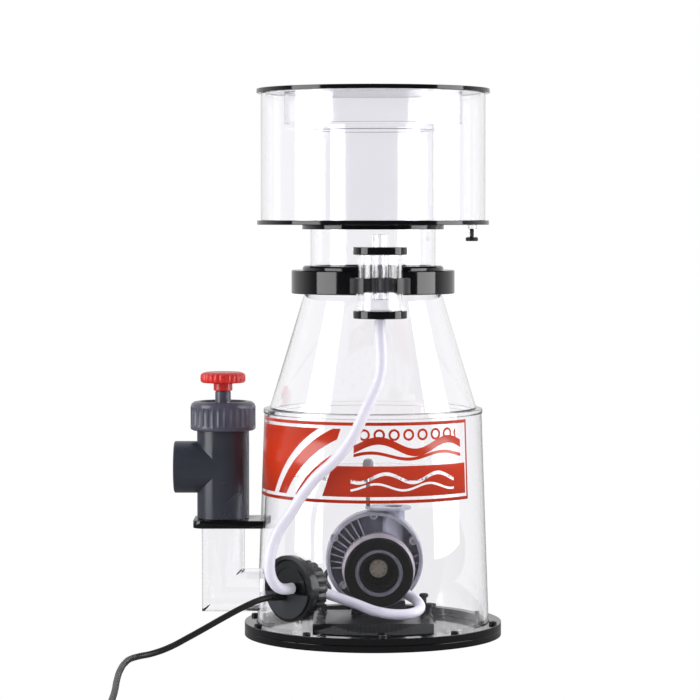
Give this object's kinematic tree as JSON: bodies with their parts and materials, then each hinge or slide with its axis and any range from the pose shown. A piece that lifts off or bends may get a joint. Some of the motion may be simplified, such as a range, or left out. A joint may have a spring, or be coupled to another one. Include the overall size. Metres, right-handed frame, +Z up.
{
  "type": "protein skimmer",
  "caption": "Upright internal protein skimmer: clear tapered body and cone, lift-off collection cup with lid, needle-wheel pump, air silencer and gate-valve outlet.",
  "frame": {"origin": "centre of the base plate's underside, on the floor of the sump", "axes": "+Z up along the axis of the body, +X right, +Y to the rear; the outlet valve stands on the -X side and the air silencer at the front"},
  "size_m": [0.426, 0.8315, 0.636],
  "materials": {
    "clear_acrylic": "clear cast acrylic, polished",
    "black_acrylic": "black acrylic sheet, polished edges",
    "black_plastic": "moulded black plastic",
    "grey_pvc": "dark grey PVC, satin",
    "red_plastic": "moulded red plastic, satin gloss",
    "black_rubber": "soft black rubber",
    "silicone": "milky translucent silicone",
    "smoke_plastic": "translucent grey moulded plastic",
    "grey_plastic": "moulded mid-grey plastic",
    "ivory_plastic": "beige moulded plastic",
    "ferrite": "coated ferrite magnet",
    "cable_pvc": "black cable sheath",
    "label_film": "printed clear film, red ink"
  },
  "bodies": {
    "skimmer_body": {"base_plate": "black_acrylic", "base_seal": "black_rubber", "body_flange": "black_acrylic", "flange_screw_01": "black_plastic", "flange_screw_02": "black_plastic", "flange_screw_03": "black_plastic", "flange_screw_04": "black_plastic", "flange_screw_05": "black_plastic", "flange_screw_06": "black_plastic", "flange_screw_07": "black_plastic", "flange_screw_08": "black_plastic", "flange_screw_09": "black_plastic", "flange_screw_10": "black_plastic", "body_shell": "clear_acrylic", "shoulder_ring": "clear_acrylic", "cone": "clear_acrylic", "neck_collar": "black_acrylic", "neck_seal": "black_rubber", "silencer_tube": "clear_acrylic", "silencer_top_cap": "black_acrylic", "silencer_base_cap": "black_acrylic", "silencer_inlet": "clear_acrylic", "silencer_barb": "clear_acrylic", "silencer_clip": "black_plastic", "port_flange": "black_plastic", "port_cover": "black_plastic", "port_nut": "black_plastic", "cable_strain_relief": "black_rubber", "air_hose_outer": "silicone", "air_hose_inner": "silicone", "power_cable": "cable_pvc", "motor_cable": "cable_pvc", "cable_coil": "cable_pvc", "mains_plug": "cable_pvc", "pump_volute": "smoke_plastic", "pump_intake_ring": "black_plastic", "pump_intake_sleeve": "grey_plastic", "motor_can": "black_plastic", "pump_outlet_pipe": "smoke_plastic", "pump_stand": "black_plastic", "bubble_plate": "clear_acrylic", "bubble_plate_post": "grey_plastic", "outlet_elbow": "clear_acrylic", "outlet_shelf": "black_acrylic", "outlet_tee": "grey_pvc", "union_nut": "grey_pvc"},
    "lock_ring": {"lock_ring": "black_acrylic"},
    "cup": {"riser_tube": "clear_acrylic", "cup_flange": "black_acrylic", "cup_floor": "black_acrylic", "cup_wall": "clear_acrylic", "drain_stub": "clear_acrylic"},
    "drain_plug": {"drain_plug": "black_rubber"},
    "lid": {"lid_plate": "black_acrylic", "lid_skirt": "clear_acrylic"},
    "rotor": {"needle_wheel": "ivory_plastic", "magnet_rotor": "ferrite"},
    "valve_handle": {"valve_stem": "grey_pvc", "valve_knob": "red_plastic"},
    "valve_gate": {"valve_gate": "grey_pvc"}
  },
  "joints": [
    {"name": "cup_lift", "type": "slide", "parent": "skimmer_body", "child": "cup", "axis": [0, 0, 1], "range_m": [0, 0.12]},
    {"name": "lid_lift", "type": "slide", "parent": "cup", "child": "lid", "axis": [0, 0, 1], "range_m": [0, 0.06]},
    {"name": "drain_plug_pull", "type": "slide", "parent": "cup", "child": "drain_plug", "axis": [0, 0, -1], "range_m": [0, 0.03]},
    {"name": "lock_ring_turn", "type": "hinge", "parent": "skimmer_body", "child": "lock_ring", "pos_m": [0, 0, 0.419], "axis": [0, 0, 1], "range_deg": [0, 45]},
    {"name": "rotor_spin", "type": "hinge", "parent": "skimmer_body", "child": "rotor", "pos_m": [0.0064, 0.03, 0.079], "axis": [0, 1, 0], "continuous": true},
    {"name": "valve_turn", "type": "hinge", "parent": "skimmer_body", "child": "valve_handle", "pos_m": [-0.175, 0, 0.25], "axis": [0, 0, 1], "range_deg": [0, 1620]},
    {"name": "gate_travel", "type": "slide", "parent": "skimmer_body", "child": "valve_gate", "axis": [0, 0, 1], "range_m": [0, 0.018]}
  ],
  "couplings": [
    {"joint": "valve_turn", "follows": "gate_travel", "rad_per_m": 1570.8}
  ]
}
